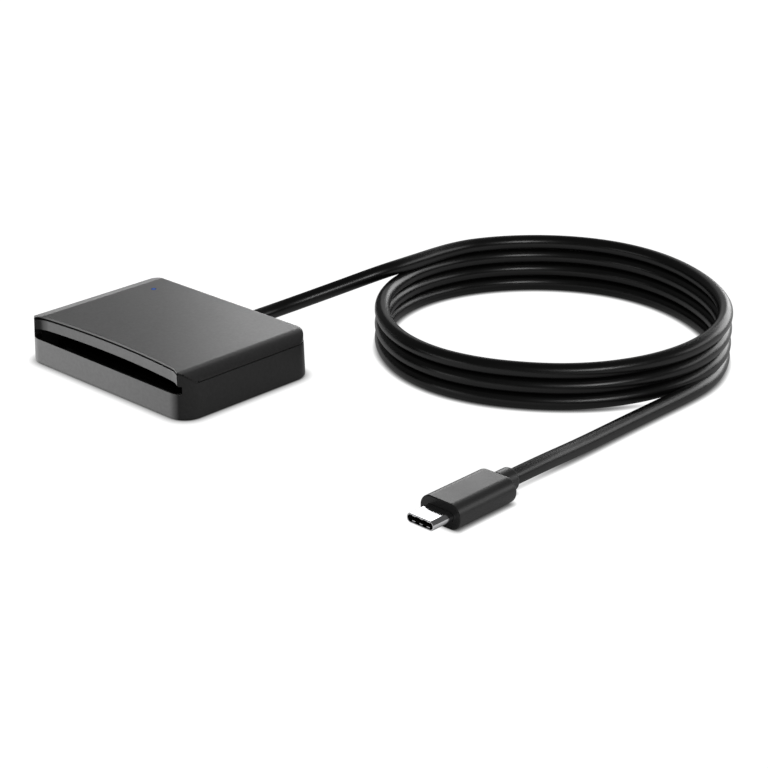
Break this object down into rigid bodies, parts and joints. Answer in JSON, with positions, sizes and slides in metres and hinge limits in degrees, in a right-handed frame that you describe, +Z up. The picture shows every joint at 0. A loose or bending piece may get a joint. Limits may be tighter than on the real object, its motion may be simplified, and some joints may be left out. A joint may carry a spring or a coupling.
{
  "type": "smart card reader",
  "caption": "Flat desktop smart card reader with a front card slot, rounded cover and status light, on a coiled captive cable that ends in a USB-C plug.",
  "frame": {"origin": "on the table under the middle of the reader", "axes": "+Z up, -Y out of the card slot, +X to the right seen from the slot; the cable leaves towards +Y"},
  "size_m": [0.156, 0.159, 0.017],
  "materials": {
    "case_plastic": "fine moulded texture",
    "cover_plastic": "fine moulded texture",
    "lip_plastic": "satin",
    "frame_plastic": "matte",
    "board_laminate": "black solder mask",
    "contact_alloy": "gold plated",
    "chip_epoxy": "matte",
    "crystal_can": "satin",
    "capacitor_ceramic": "matte",
    "led_resin": "clear resin",
    "pipe_acrylic": "clear, lit blue",
    "header_nylon": "matte",
    "wire_insulation": "smooth",
    "screw_steel": "zinc plated",
    "foot_rubber": "matte",
    "gland_rubber": "satin",
    "cable_jacket": "satin jacket",
    "plug_moulding": "satin",
    "plug_steel": "nickel plated",
    "insulator_plastic": "matte"
  },
  "bodies": {
    "root": {"bottom_case": "case_plastic", "top_cover": "cover_plastic", "slot_lip": "lip_plastic", "circuit_board": "board_laminate", "board_screws": "screw_steel", "card_frame": "frame_plastic", "card_contacts": "contact_alloy", "card_switch": "frame_plastic", "controller_chip": "chip_epoxy", "clock_crystal": "crystal_can", "board_capacitors": "capacitor_ceramic", "status_led": "led_resin", "light_pipe": "pipe_acrylic", "cable_header": "header_nylon", "cable_wires": "wire_insulation", "case_screws": "screw_steel", "rubber_feet": "foot_rubber", "cable_gland": "gland_rubber", "cable_reader_run": "cable_jacket", "cable_coil": "cable_jacket", "cable_plug_run": "cable_jacket", "plug_overmold": "plug_moulding", "plug_shell": "plug_steel", "plug_insulator": "insulator_plastic", "plug_contacts": "contact_alloy", "plug_latches": "plug_steel", "plug_ground_springs": "plug_steel"}
  },
  "joints": []
}
